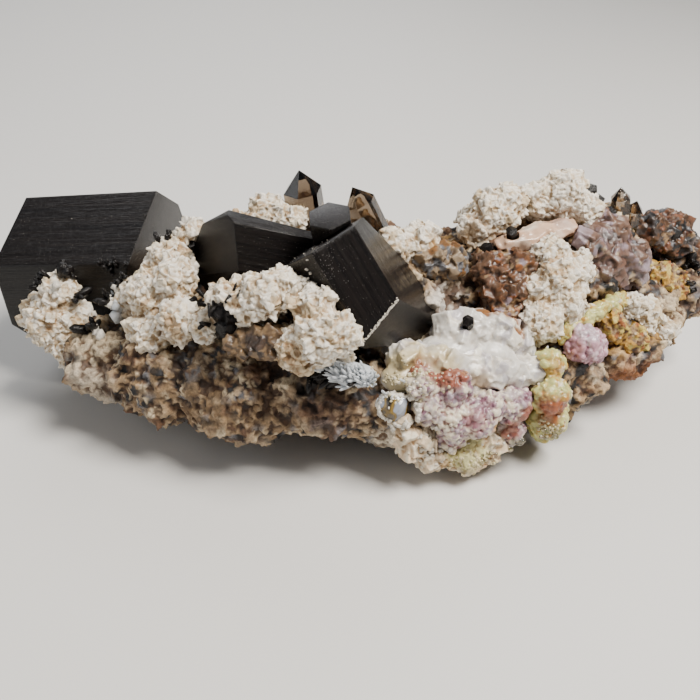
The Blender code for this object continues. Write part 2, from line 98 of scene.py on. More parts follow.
def lattice(cells, salt):
    """A repeatable value from 0 to 1 for each whole-number cell."""
    a = cells[..., 0].astype(np.uint32) * np.uint32(374761393)
    b = cells[..., 1].astype(np.uint32) * np.uint32(668265263)
    c = cells[..., 2].astype(np.uint32) * np.uint32(2147483647)
    mixed = a + b + c + np.uint32(salt * 1274126177 % 4294967295)
    mixed = (mixed ^ (mixed >> np.uint32(13))) * np.uint32(1274126177)
    mixed = (mixed ^ (mixed >> np.uint32(16))) * np.uint32(2246822519)
    return ((mixed ^ (mixed >> np.uint32(15))) & np.uint32(0xFFFFFF)).astype(float) / 0xFFFFFF


def smooth_noise(points, size, salt=0):
    """Smooth noise from -1 to 1 with features of about one size across."""
    scaled = points / size
    base = np.floor(scaled).astype(np.int64)
    share = scaled - base
    share = share * share * (3 - 2 * share)
    total = np.zeros(len(points))
    for corner in product((0, 1), repeat=3):
        total += lattice(base + corner, salt) * np.prod(np.where(corner, share, 1 - share), axis=1)
    return total * 2 - 1


def cell_noise(points, size, salt=0):
    """Distance to the nearest and the second nearest of scattered seeds, in sizes."""
    scaled = points / size
    base = np.floor(scaled).astype(np.int64)
    near = np.full(len(points), 9.0)
    second = np.full(len(points), 9.0)
    for step in product((-1, 0, 1), repeat=3):
        cell = base + step
        seed = np.stack([lattice(cell, salt + k) for k in (11, 23, 37)], axis=1)
        gap = np.linalg.norm(cell + seed - scaled, axis=1)
        second = np.minimum(second, np.maximum(near, gap))
        near = np.minimum(near, gap)
    return near, second


# Meshes

def node_arrays(name):
    """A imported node's corners and triangles."""
    mesh = NODES[name].data
    mesh.calc_loop_triangles()
    verts = np.empty(len(mesh.vertices) * 3)
    mesh.vertices.foreach_get("co", verts)
    tris = np.empty(len(mesh.loop_triangles) * 3, dtype=np.int32)
    mesh.loop_triangles.foreach_get("vertices", tris)
    return to_model(verts.reshape(-1, 3)), tris.reshape(-1, 3)


def mesh_from(name, verts, faces):
    mesh = bpy.data.meshes.new(name)
    count, corners = faces.shape
    mesh.vertices.add(len(verts))
    mesh.vertices.foreach_set("co", np.asarray(verts, dtype=np.float32).ravel())
    mesh.loops.add(count * corners)
    mesh.loops.foreach_set("vertex_index", faces.astype(np.int32).ravel())
    mesh.polygons.add(count)
    mesh.polygons.foreach_set("loop_start", np.arange(0, count * corners, corners, dtype=np.int32))
    mesh.update(calc_edges=True)
    return mesh


def new_object(name, data):
    obj = bpy.data.objects.new(name, data)
    bpy.context.scene.collection.objects.link(obj)
    return obj


def corners_of(obj):
    verts = np.empty(len(obj.data.vertices) * 3)
    obj.data.vertices.foreach_get("co", verts)
    return verts.reshape(-1, 3)


def set_corners(obj, verts):
    obj.data.vertices.foreach_set("co", np.asarray(verts, dtype=np.float32).ravel())
    obj.data.update()


def normals_of(obj):
    normals = np.empty(len(obj.data.vertices) * 3)
    obj.data.vertex_normals.foreach_get("vector", normals)
    return normals.reshape(-1, 3)


def modify(obj, kind, **settings):
    """Change a mesh by a modifier, for good."""
    modifier = obj.modifiers.new(kind, kind)
    for name, value in settings.items():
        setattr(modifier, name, value)
    depsgraph = bpy.context.evaluated_depsgraph_get()
    result = bpy.data.meshes.new_from_object(obj.evaluated_get(depsgraph))
    old = obj.data
    obj.modifiers.clear()
    obj.data = result
    bpy.data.meshes.remove(old)


# Forms of single grains, in sizes of the grain
BLOCK_LEAN = 0.25
POINT_FOOT, POINT_SHOULDER, POINT_HEIGHT = 0.5, 0.42, 0.8
TIP_INSET, TIP_HEIGHT = 0.28, 0.2


def prototype(kind):
    """Corners and triangles of one grain of size one."""
    bm = bmesh.new()
    if kind == "block":
        bmesh.ops.create_cube(bm, size=1.0)
        for vert in bm.verts:
            vert.co.x += vert.co.z * BLOCK_LEAN
    elif kind == "ball":
        bmesh.ops.create_icosphere(bm, subdivisions=2, radius=0.5)
    elif kind == "round":
        bmesh.ops.create_icosphere(bm, subdivisions=3, radius=1.0)
    elif kind == "point":
        bmesh.ops.create_cone(
            bm, cap_ends=True, segments=6, radius1=POINT_FOOT, radius2=POINT_SHOULDER, depth=POINT_HEIGHT)
        top = max(bm.faces, key=lambda face: face.calc_center_median().z)
        bmesh.ops.inset_individual(
            bm, faces=[top], thickness=TIP_INSET, depth=TIP_HEIGHT, use_even_offset=True)
    bmesh.ops.triangulate(bm, faces=bm.faces[:])
    verts = np.array([vert.co[:] for vert in bm.verts])
    tris = np.array([[vert.index for vert in face.verts] for face in bm.faces])
    bm.free()
    return verts, tris


def random_turns(count, rng):
    """Random rotation matrices."""
    q = rng.normal(size=(count, 4))
    q /= np.linalg.norm(q, axis=1)[:, None]
    w, x, y, z = q.T
    return np.stack([
        np.stack([1 - 2 * (y * y + z * z), 2 * (x * y - z * w), 2 * (x * z + y * w)], axis=1),
        np.stack([2 * (x * y + z * w), 1 - 2 * (x * x + z * z), 2 * (y * z - x * w)], axis=1),
        np.stack([2 * (x * z - y * w), 2 * (y * z + x * w), 1 - 2 * (x * x + y * y)], axis=1),
    ], axis=1)


def grain_arrays(kind, centres, sizes, rng, stretch=0.35):
    """Many grains as one set of corners and triangles."""
    verts, tris = prototype(kind)
    count = len(centres)
    turns = random_turns(count, rng)
    scale = sizes[:, None] * (1 + rng.uniform(-stretch, stretch, size=(count, 3)))
    shaped = verts[None, :, :] * scale[:, None, :]
    turned = np.einsum("nij,nvj->nvi", turns, shaped)
    all_verts = (turned + centres[:, None, :]).reshape(-1, 3)
    offsets = np.arange(count)[:, None, None] * len(verts)
    all_tris = (tris[None, :, :] + offsets).reshape(-1, 3)
    return all_verts, all_tris


def on_surface(verts, tris, count, rng):
    """Random points on a mesh, spread by area, with their outward directions."""
    a, b, c = verts[tris[:, 0]], verts[tris[:, 1]], verts[tris[:, 2]]
    cross = np.cross(b - a, c - a)
    area = np.linalg.norm(cross, axis=1) / 2
    pick = rng.choice(len(tris), size=count, p=area / area.sum())
    u, v = rng.random(count), rng.random(count)
    fold = u + v > 1
    u[fold], v[fold] = 1 - u[fold], 1 - v[fold]
    points = a[pick] + (b - a)[pick] * u[:, None] + (c - a)[pick] * v[:, None]
    out = cross[pick] / (np.linalg.norm(cross[pick], axis=1)[:, None] + 1e-9)
    return points, out


def hollows(obj, rounds):
    """How far each corner lies below (plus) or above (minus) its smoothed surroundings, mm."""
    points = corners_of(obj)
    out = normals_of(obj)
    pairs = np.empty(len(obj.data.edges) * 2, dtype=np.int64)
    obj.data.edges.foreach_get("vertices", pairs)
    a, b = pairs.reshape(-1, 2).T
    count = np.bincount(a, minlength=len(points)) + np.bincount(b, minlength=len(points))
    soft = points.copy()
    for _ in range(rounds):
        total = np.stack([
            np.bincount(a, soft[b, k], len(points)) + np.bincount(b, soft[a, k], len(points))
            for k in range(3)], axis=1)
        soft = soft * 0.3 + total / np.maximum(count, 1)[:, None] * 0.7
    return ((soft - points) * out).sum(axis=1)


def surface_area(verts, tris):
    a, b, c = verts[tris[:, 0]], verts[tris[:, 1]], verts[tris[:, 2]]
    return np.linalg.norm(np.cross(b - a, c - a), axis=1).sum() / 2


def join_arrays(parts):
    """Several sets of corners and triangles as one."""
    verts, tris, start = [], [], 0
    for part_verts, part_tris in parts:
        verts.append(part_verts)
        tris.append(part_tris + start)
        start += len(part_verts)
    return np.concatenate(verts), np.concatenate(tris)


def inside_crystals(points, margin):
    """Which points lie deep in one of the big dark crystals."""
    result = np.zeros(len(points), dtype=bool)
    for planes in CRYSTAL_PLANES:
        deep = np.ones(len(points), dtype=bool)
        for normal, offset in planes:
            deep &= points @ normal < offset - margin
        result |= deep
    return result


def planes_of(name):
    """Outward directions and offsets of a crystal's faces."""
    verts, tris = node_arrays(name)
    middle = verts.mean(axis=0)
    planes = []
    for tri in tris:
        a, b, c = verts[tri]
        normal = np.cross(b - a, c - a)
        length = np.linalg.norm(normal)
        if length < 1e-4:
            continue
        normal = normal / length
        if normal @ (a - middle) < 0:
            normal = -normal
        if not any(normal @ other > 0.999 and abs(normal @ a - offset) < 0.05 for other, offset in planes):
            planes.append((normal, normal @ a))
    return planes


CRYSTAL_PLANES = [planes_of("tourmaline_centre"), planes_of("tourmaline_left")]


def melt(name, verts, tris, voxel):
    """One closed skin around everything in a set of arrays."""
    obj = new_object(name, mesh_from(name, verts, tris))
    modify(obj, "REMESH", mode="VOXEL", voxel_size=voxel)
    return obj


def paint(obj, colours):
    """Keep one colour for each corner, for the material to read."""
    layer = obj.data.color_attributes.new("tint", "FLOAT_COLOR", "POINT")
    rgba = np.ones((len(colours), 4), dtype=np.float32)
    rgba[:, :3] = np.clip(colours, 0, 1)
    layer.data.foreach_set("color", rgba.ravel())


def finish_piece(obj, material, nodes):
    """Take a finished mesh to the row frame and hand it to the frame."""
    set_corners(obj, to_row(corners_of(obj)))
    obj.data.materials.clear()
    obj.data.materials.append(material)
    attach(obj, "root")
    if nodes:
        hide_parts(*nodes)
    SKINS.append(obj)
    return obj


# Materials

# Levels between which noise mostly lies
NOISE_LOW, NOISE_HIGH = 0.3, 0.7
SPECK_LOW, SPECK_HIGH = 0.70, 0.76
# Depths of fine relief and how far light spreads in a crust, metres
GRAIN_RELIEF, GROOVE_RELIEF, RIPPLE_RELIEF = 0.00025, 0.0002, 0.0002
GLOW_REACH = 0.0012
# Broad noise against fine, and lengthwise streaks against their width
BROAD_SHARE = 0.22
STREAK_SQUEEZE = 0.03
JET, BROWN_FILM, GREY_GRIT = (0.002, 0.002, 0.0025, 1), (0.013, 0.0105, 0.0095, 1), (0.22, 0.20, 0.18, 1)


def node_material(name):
    material = bpy.data.materials.new(name)
    material.use_nodes = True
    tree = material.node_tree
    return material, tree, tree.nodes["Principled BSDF"]


def set_inputs(node, values):
    for name, value in values.items():
        node.inputs[name].default_value = value


def object_place(tree):
    return tree.nodes.new("ShaderNodeTexCoord").outputs["Object"]


def add_noise(tree, place, scale, detail=4.0, roughness=0.6):
    node = tree.nodes.new("ShaderNodeTexNoise")
    set_inputs(node, {"Scale": scale, "Detail": detail, "Roughness": roughness})
    tree.links.new(place, node.inputs["Vector"])
    return node.outputs["Fac"]


def remap(tree, value, low, high, start=NOISE_LOW, end=NOISE_HIGH):
    """Stretch a value that lies between start and end to low to high."""
    node = tree.nodes.new("ShaderNodeMapRange")
    set_inputs(node, {"From Min": start, "From Max": end, "To Min": low, "To Max": high})
    tree.links.new(value, node.inputs["Value"])
    return node.outputs["Result"]


def add_mix(tree, factor, a, b, blend="MIX"):
    """Blend two colours. Each of the three inputs is a value or another node's output."""
    node = tree.nodes.new("ShaderNodeMix")
    node.data_type = "RGBA"
    node.blend_type = blend
    for name, value in (("Factor", factor), ("A", a), ("B", b)):
        if isinstance(value, bpy.types.NodeSocket):
            tree.links.new(value, node.inputs[name])
        else:
            node.inputs[name].default_value = value
    return node.outputs["Result"]


def add_relief(tree, shader, height, strength, distance):
    node = tree.nodes.new("ShaderNodeBump")
    set_inputs(node, {"Strength": strength, "Distance": distance})
    tree.links.new(height, node.inputs["Height"])
    tree.links.new(node.outputs["Normal"], shader.inputs["Normal"])


def tinted_material(name, rough, grain_scale=2600.0, bump=0.35, mottle=0.25, subsurface=0.0, coat=0.0):
    """Rock or crust: painted colour, mottled by fine noise, with a fine grain in relief."""
    material, tree, shader = node_material(name)
    place = object_place(tree)
    tint = tree.nodes.new("ShaderNodeVertexColor")
    tint.layer_name = "tint"
    fine = add_noise(tree, place, grain_scale)
    broad = add_noise(tree, place, grain_scale * BROAD_SHARE)
    level = remap(tree, fine, 1.0 - mottle, 1.0 + mottle * 0.6)
    grey = tree.nodes.new("ShaderNodeCombineColor")
    for channel in ("Red", "Green", "Blue"):
        tree.links.new(level, grey.inputs[channel])
    shade = add_mix(tree, 1.0, tint.outputs["Color"], grey.outputs["Color"], "MULTIPLY")
    tree.links.new(shade, shader.inputs["Base Color"])
    tree.links.new(remap(tree, broad, *rough), shader.inputs["Roughness"])
    add_relief(tree, shader, fine, bump, GRAIN_RELIEF)
    if subsurface:
        set_inputs(shader, {"Subsurface Weight": subsurface, "Subsurface Radius": (1.0, 0.8, 0.6),
                            "Subsurface Scale": GLOW_REACH})
    set_inputs(shader, {"Coat Weight": coat, "Coat Roughness": 0.08})
    return material


def schorl_material(name, grooved):
    """Jet black and glossy, with fine grooves along the crystal and a film of brown dust."""
    material, tree, shader = node_material(name)
    if grooved:
        local = tree.nodes.new("ShaderNodeAttribute")
        local.attribute_name = "local"
    else:
        local = tree.nodes.new("ShaderNodeMapping")
        set_inputs(local, {"Scale": (1 / MM, 1 / MM, 1 / MM)})
        tree.links.new(object_place(tree), local.inputs["Vector"])
    place = local.outputs["Vector"]
    squeeze = tree.nodes.new("ShaderNodeMapping")
    set_inputs(squeeze, {"Scale": (1.0, 1.0, STREAK_SQUEEZE)})
    tree.links.new(place, squeeze.inputs["Vector"])
    lengthwise = squeeze.outputs["Vector"]
    grooves = add_noise(tree, lengthwise, 3.2, 6.0, 0.75)
    streaks = add_noise(tree, lengthwise, 1.1, 8.0, 0.75)
    film = add_noise(tree, place, 0.5, 8.0, 0.7)
    specks = add_noise(tree, place, 4.5, 2.0, 0.6)
    add_relief(tree, shader, grooves, 0.6, GROOVE_RELIEF)
    tree.links.new(remap(tree, film, 0.05, 0.22), shader.inputs["Roughness"])
    dust = add_mix(tree, remap(tree, streaks, 0.0, 1.0), JET, BROWN_FILM)
    grit = remap(tree, specks, 0.0, 1.0, SPECK_LOW, SPECK_HIGH)
    tree.links.new(add_mix(tree, grit, dust, GREY_GRIT), shader.inputs["Base Color"])
    set_inputs(shader, {"IOR": 1.5, "Specular IOR Level": 0.22})
    return material


def clear_material(name, colour, roughness, density, absorb, ior=1.54, clear=1.0, veils=()):
    """Clear crystal or opal: plain transmission with absorption inside.

    veils are colours seen in it in patches, each (noise level, colour), between black and white.
    """
    material, tree, shader = node_material(name)
    set_inputs(shader, {"Base Color": (*colour, 1.0), "Roughness": roughness, "IOR": ior,
                        "Transmission Weight": clear})
    place = object_place(tree)
    add_relief(tree, shader, add_noise(tree, place, 900.0, 3.0), 0.15, RIPPLE_RELIEF)
    if veils:
        bands = tree.nodes.new("ShaderNodeValToRGB")
        for level, shade in veils:
            bands.color_ramp.elements.new(level).color = (*shade, 1.0)
        tree.links.new(add_noise(tree, place, 330.0, 1.5), bands.inputs["Fac"])
        tree.links.new(bands.outputs["Color"], shader.inputs["Base Color"])
    volume = tree.nodes.new("ShaderNodeVolumeAbsorption")
    set_inputs(volume, {"Color": (*absorb, 1.0), "Density": density})
    tree.links.new(volume.outputs["Volume"], tree.nodes["Material Output"].inputs["Volume"])
    return material


SCHORL = schorl_material("schorl", True)
SMALL_SCHORL = schorl_material("small_schorl", False)
ROCK = tinted_material("sugary_rock", rough=(0.45, 0.95), bump=0.6, mottle=0.4)
CHALKY = tinted_material("crumbly_feldspar", rough=(0.6, 0.9), bump=0.55, mottle=0.14)
GLAZE = tinted_material("milky_glaze", rough=(0.2, 0.45), grain_scale=1400.0, bump=0.2, mottle=0.1,
                        subsurface=0.12, coat=0.25)
WAXY = tinted_material("waxy_opal", rough=(0.3, 0.55), grain_scale=2200.0, bump=0.25, mottle=0.2,
                       subsurface=0.2, coat=0.25)
SATIN = tinted_material("satin_rock", rough=(0.35, 0.6), grain_scale=900.0, bump=0.2, mottle=0.2,
                        subsurface=0.1, coat=0.1)
SMOKE = clear_material("smoky_quartz", (0.80, 0.72, 0.60), 0.08, 420.0, (0.42, 0.33, 0.24))
PALE = clear_material("pale_quartz", (0.80, 0.84, 0.88), 0.16, 40.0, (0.70, 0.75, 0.80), clear=0.35)
EYE = clear_material("eye_quartz", (0.72, 0.74, 0.76), 0.05, 200.0, (0.30, 0.30, 0.32), clear=0.45, veils=[
    (0.36, (0.04, 0.035, 0.03)), (0.45, (0.42, 0.27, 0.07)), (0.50, (0.30, 0.21, 0.08)),
    (0.53, (0.45, 0.50, 0.62)), (0.64, (0.66, 0.70, 0.78))])
DROP = clear_material("clear_drop", (0.94, 0.94, 0.88), 0.02, 20.0, (0.8, 0.8, 0.7), ior=1.46)


# Rock and crusts

# Stains and patches of the rock, a few of them partly painted shade: centre, reach, colour, strength
ROCK_STAINS_AND_SHADE = [
    ((-44, -14, 11), 7.5, (0.50, 0.42, 0.32), 0.75),
    ((-43, -12, 18), 5, CREAM, 0.8),
    # From here to (-8, -26, 20), the dark browns and coal on the rock's front are partly its own colour and
    # partly painted shade under the overhanging crusts; the creams and buff are its own.
    ((-30, -18, 14), 7, UMBER, 0.7),
    ((-22, -24, 14), 7, (0.20, 0.125, 0.06), 0.75),
    ((-12, -27, 14), 6, UMBER, 0.7),
    ((-33, -20, 4), 4, CREAM, 0.6),
    ((-17, -26, 4), 5, CREAM, 0.6),
    ((-2, -27, 4), 4, BUFF, 0.6),
    ((-4, -27, 14), 6, BROWN, 0.7),
    ((-26, -22, 20), 5, COAL, 0.5),
    ((-14, -24, 20), 5, BROWN, 0.7),
    ((-20, -24, 6), 7, BROWN, 0.5),
    ((-8, -26, 20), 3.5, COAL, 0.6),
    ((10, -27, 8), 7, IVORY, 0.9),
    ((18, -25, 6), 6, YELLOW, 0.6),
    ((18, -20, 16), 8, MILK, 0.8),
    ((30, -17, 10), 6, YELLOW, 0.6),
    ((41, -10, 10), 6, IVORY, 0.9),
    ((50, -6, 8), 7, RUST, 0.85),
    ((46, -8, 16), 4.5, OCHRE, 0.8),
    ((53, -2, 14), 5, OCHRE, 0.8),
    ((60, 4, 10), 6, OCHRE, 0.6),
    ((60, 2, 16), 5, CREAM, 0.8),
    ((66, 10, 16), 6, BROWN, 0.8),
    ((62, 14, 24), 6, BROWN, 0.7),
    ((28, -6, 26), 7, RUST, 0.6),
    ((30, -2, 30), 5, BROWN, 0.6),
    ((47, 2, 28), 6, LAVENDER, 0.8),
    ((44, 0, 22), 5, BUFF, 0.8),
    ((16, -6, 28), 6, BUFF, 0.7),
    ((16, -10, 24), 5, MILK, 0.7),
    ((14, 4, 30), 6, OCHRE, 0.4),
    ((40, 12, 32), 8, IVORY, 0.7),
    ((20, 14, 22), 10, BUFF, 0.6),
    ((-6, 16, 20), 10, TAN, 0.6),
    ((50, 18, 20), 8, OCHRE, 0.4),
    ((-30, 16, 16), 9, IVORY, 0.6),
    ((-46, 14, 12), 8, CREAM, 0.7),
    ((0, 26, 12), 9, RUST, 0.45),
    ((30, 24, 16), 9, CREAM, 0.6),
    ((-16, 24, 6), 7, IVORY, 0.5),
    ((12, 24, 22), 6, SLATE, 0.6),
    ((48, 24, 10), 7, RUST, 0.6),
    ((-10, 0, 0), 16, BUFF, 0.6),
    ((20, 6, 0), 14, TAN, 0.5),
]


def stain(points, colours, stains):
    """Blend patches into a set of colours, with ragged rims."""
    ragged = smooth_noise(points, 2.6, 5) * 0.35 + smooth_noise(points, 0.9, 6) * 0.2
    for centre, reach, colour, strength in stains:
        far = np.linalg.norm(points - np.array(centre), axis=1) / reach
        share = np.clip((1.0 - far + ragged) * 2.2, 0, 1) * strength
        colours = colours * (1 - share[:, None]) + np.array(colour) * share[:, None]
    return colours


def clumped(points, palette, size, jitter, rng, salt):
    """A colour for each point, from a palette laid out in patches of about one size."""
    field = smooth_noise(points, size, salt) + smooth_noise(points, size * 0.4, salt + 1) * 0.6
    field = field + rng.normal(size=len(points)) * jitter
    rank = np.argsort(np.argsort(field)) / max(len(points), 1)
    weights = np.array([weight for _, weight in palette], dtype=float)
    pick = np.searchsorted(np.cumsum(weights / weights.sum()), rank)
    colours = np.array([colour for colour, _ in palette])[np.minimum(pick, len(palette) - 1)]
    return colours * rng.uniform(0.88, 1.1, size=(len(points), 1))


# Settings of the crusts: lengths are mm, and rounds are steps of smoothing
CRYSTAL_MARGIN = 1.2
PIT_SPACING, PIT_WIDTH = 1.4, 0.22
ROUGH_SIZE, FINE_ROUGH_SIZE, FACET_SIZE = 0.9, 0.4, 0.8
# Hollows this deep, mm, get the full painted shade, and bumps this high get the full painted light
FINE_ROUNDS, FINE_DEPTH = 6, 0.10
BROAD_ROUNDS, BROAD_DEPTH = 30, 0.30


class Crust:
    """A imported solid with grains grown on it, and a colour for each grain."""

    def __init__(self, name, seed):
        self.name = name
        self.seed = seed
        self.rng = np.random.default_rng(seed)
        self.verts, self.tris = node_arrays(name)
        self.area = surface_area(self.verts, self.tris)
        self.parts = [(self.verts, self.tris)]
        self.centres = []
        self.colours = []

    def grow(self, kind, per_mm2, sizes, palette, sink=0.15, keep=None, patch=2.5, jitter=0.35):
        """Scatter grains, most of them small. sizes is (smallest, largest), palette [(colour, weight)]."""
        count = int(self.area * per_mm2)
        points, out = on_surface(self.verts, self.tris, count, self.rng)
        low, high = sizes
        size = low + (high - low) * self.rng.random(count) ** 2.0
        points = points - out * (size * sink)[:, None]
        chosen = ~inside_crystals(points, CRYSTAL_MARGIN)
        if keep is not None:
            chosen &= keep(points)
        points, size = points[chosen], size[chosen]
        self.parts.append(grain_arrays(kind, points, size, self.rng))
        self.centres.append(points)
        self.colours.append(clumped(points, palette, patch, jitter, self.rng, self.seed))

    def add(self, lumps, colour):
        """Add ellipsoids, each (centre, radii, turn about the upright in degrees)."""
        for centre, radii, turn in lumps:
            verts, tris = prototype("round")
            cosine, sine = math.cos(math.radians(turn)), math.sin(math.radians(turn))
            spin = np.array([[cosine, sine, 0], [-sine, cosine, 0], [0, 0, 1]])
            placed = (verts * np.array(radii)) @ spin + np.array(centre)
            self.parts.append((placed, tris))
            near = placed[::3]
            self.centres.append(near)
            self.colours.append(np.tile(np.array(colour), (len(near), 1)))

    # The colour given for hollows is that of painted shade, and depth sets how strong the painted shade is.
    def finish(self, voxel, material, rough=0.1, stains=(), pits=0.0, shade_tint=BROWN, depth=0.5, facet=0.0,
               soften=0, share=0.5):
        """Melt, roughen, thin to a share of the triangles, colour with painted shade in hollows and painted
        light on bumps, and hand over.
        """
        verts, tris = join_arrays(self.parts)
        obj = melt(self.name + "_skin", verts, tris, voxel * (1.0))
        if soften:
            modify(obj, "SMOOTH", iterations=soften)
        points = corners_of(obj)
        out = normals_of(obj)
        near, second = cell_noise(points, PIT_SPACING, 3)
        height = smooth_noise(points, ROUGH_SIZE, 1) * rough
        height += smooth_noise(points, FINE_ROUGH_SIZE, 2) * rough * 0.6
        height -= np.clip(PIT_WIDTH - (second - near), 0, 1) * pits
        if facet:
            height += (0.5 - cell_noise(points, FACET_SIZE, 9)[0]) * facet
        moved = points + out * height[:, None]
        moved[:, 2] = np.maximum(moved[:, 2], 0.0)
        set_corners(obj, moved)
        modify(obj, "DECIMATE", ratio=share)
        self.colour(obj, corners_of(obj), stains, np.array(shade_tint), depth)
        obj.data.shade_smooth()
        return finish_piece(obj, material, [self.name])

    def colour(self, obj, points, stains, shade_tint, depth):
        centres = np.concatenate(self.centres)
        colours = np.concatenate(self.colours)
        tree = kdtree.KDTree(len(centres))
        for index, centre in enumerate(centres):
            tree.insert(centre, index)
        tree.balance()
        nearest = np.array([tree.find(point)[1] for point in points])
        result = stain(points, colours[nearest], stains)
        # Painted shade: corners in small and broad hollows are darkened towards the given tint, by up to
        # depth.
        fine = np.clip(hollows(obj, FINE_ROUNDS) / FINE_DEPTH, -1, 1)
        broad = np.clip(hollows(obj, BROAD_ROUNDS) / BROAD_DEPTH, -1, 1)
        low = np.clip(fine * 0.5 + broad * 0.7, 0, 1)[:, None] * depth
        # Painted light: corners on small and broad bumps are made up to 15 % lighter.
        high = np.clip(-fine * 0.6 - broad * 0.3, 0, 1)[:, None]
        result = result * (1 - low) + result * shade_tint * 1.6 * low
        paint(obj, result * (1 + high * 0.15))


FELDSPAR_PALETTE = [(WHITE, 5), (IVORY, 4), (WHITE, 3), (CREAM, 2), (BUFF, 0.7)]


def feldspar(name, seed, stains=(), palette=FELDSPAR_PALETTE):
    """A white crust: coarse grains all over, and fine crumbs on about half of it."""
    def crumbly(points):
        return smooth_noise(points, 3.2, seed) + smooth_noise(points, 1.3, seed) * 0.5 > -0.12

    crust = Crust(name, seed)
    crust.grow("block", 0.5, (1.2, 2.8), palette, sink=0.34)
    crust.grow("block", 1.0, (0.6, 1.5), palette, sink=0.2)
    crust.grow("block", 3.0, (0.35, 0.9), palette, sink=0.0, keep=crumbly)
    crust.grow("block", 3.5, (0.25, 0.5), palette, sink=-0.2, keep=crumbly)
    crust.finish(0.16, CHALKY, rough=0.13, stains=stains, pits=1.0, shade_tint=(0.36, 0.25, 0.14),
                 depth=0.75, facet=0.3)


def make_matrix():
    """The rock, with grains of all its minerals, and its flat face underneath left flat."""
    def above_foot(points):
        return points[:, 2] > 0.5

    palette = [(COAL, 0.5), (BROWN, 2.2), (TAN, 3), (BUFF, 3), (CREAM, 1.4), (SLATE, 0.8), (BROWN, 1),
               (TAN, 1.5)]
    dark = [(COAL, 3), (SLATE, 1), (CREAM, 1)]
    crust = Crust("matrix", 11)
    crust.grow("block", 0.22, (1.4, 4.0), palette, sink=0.25, keep=above_foot, patch=3.5)
    crust.grow("block", 1.1, (0.7, 1.8), palette, sink=0.1, keep=above_foot, patch=3.0)
    crust.grow("block", 0.25, (0.6, 1.4), dark, sink=0.0, keep=above_foot, patch=1.5)
    crust.finish(0.34, ROCK, rough=0.22, stains=ROCK_STAINS_AND_SHADE, pits=1.4, depth=0.9,
                 facet=0.4, share=0.35)


def make_feldspars():
    feldspar("feldspar_left", 21, [((-50, -7, 13), 3, BUFF, 0.6), ((-57, -3, 17), 2, TAN, 0.4)])
    feldspar("feldspar_between", 22, [
        ((-35, -9, 29), 3, YELLOW, 0.35), ((-36, -13, 22), 4, BUFF, 0.6),
        ((-28, -19, 24), 3, TAN, 0.5), ((-26, -4, 32), 2, BROWN, 0.7),
        ((-25, -13.6, 24.6), 3.4, (0.12, 0.10, 0.095), 0.9)])
    feldspar("feldspar_middle", 23, [((-20, -22, 28), 3, TAN, 0.5)])
    feldspar("feldspar_centre", 24, [((-9, -28, 24), 3.5, TAN, 0.5), ((-6, -27, 26), 2, BUFF, 0.5)])
    feldspar("feldspar_back", 25, [((-13, 1, 35), 2, BROWN, 0.5)])
    feldspar("feldspar_rear", 26, [((13, -4, 33), 2.4, OCHRE, 0.6), ((8, -7, 32), 2, BUFF, 0.6)])
    feldspar("feldspar_knob", 27, [((36, 7, 36), 2, BROWN, 0.5)], [(WHITE, 9), (IVORY, 3), (CREAM, 0.5)])
    feldspar("feldspar_shoulder", 28, [
        ((23, 1, 33), 3.4, BUFF, 0.7), ((27, 2, 35), 2.2, TAN, 0.6), ((20, 0, 31), 2.4, TAN, 0.6)])
    feldspar("feldspar_right", 29, [((31, -13, 21), 2.5, BUFF, 0.6), ((30, -8, 26), 2, BROWN, 0.4)])
    feldspar("feldspar_ledge", 30, [((55, -1, 16), 3, YELLOW, 0.4)])


def make_feldspar_foot():
    """The beige cleavage blocks at the front foot, yellow-green at their right end."""
    beige = [((0.62, 0.49, 0.34), 4), (IVORY, 3), ((0.52, 0.38, 0.24), 1.5)]
    crust = Crust("feldspar_foot", 31)
    crust.grow("block", 0.8, (1.2, 2.6), beige, sink=0.42, jitter=0.15)
    crust.grow("block", 1.6, (0.3, 0.8), beige, sink=0.1, patch=2.0)
    crust.finish(0.16, CHALKY, rough=0.06, pits=0.4, shade_tint=(0.30, 0.2, 0.1), depth=0.85, facet=0.1,
                 stains=[
                     ((17.3, -28.5, 7.4), 1.8, OCHRE, 0.8),
                     ((19.6, -28.5, 6.4), 4, SULPHUR, 0.85),
                     ((22.3, -28.5, 5.2), 2.4, SULPHUR, 0.8),
                     ((6.9, -27.5, 5.2), 1.5, (0.48, 0.26, 0.06), 0.8),
                     ((13, -28, 7.7), 1.8, SLATE, 0.6),
                     ((15.7, -29, 4.7), 1.2, OCHRE, 0.6)])


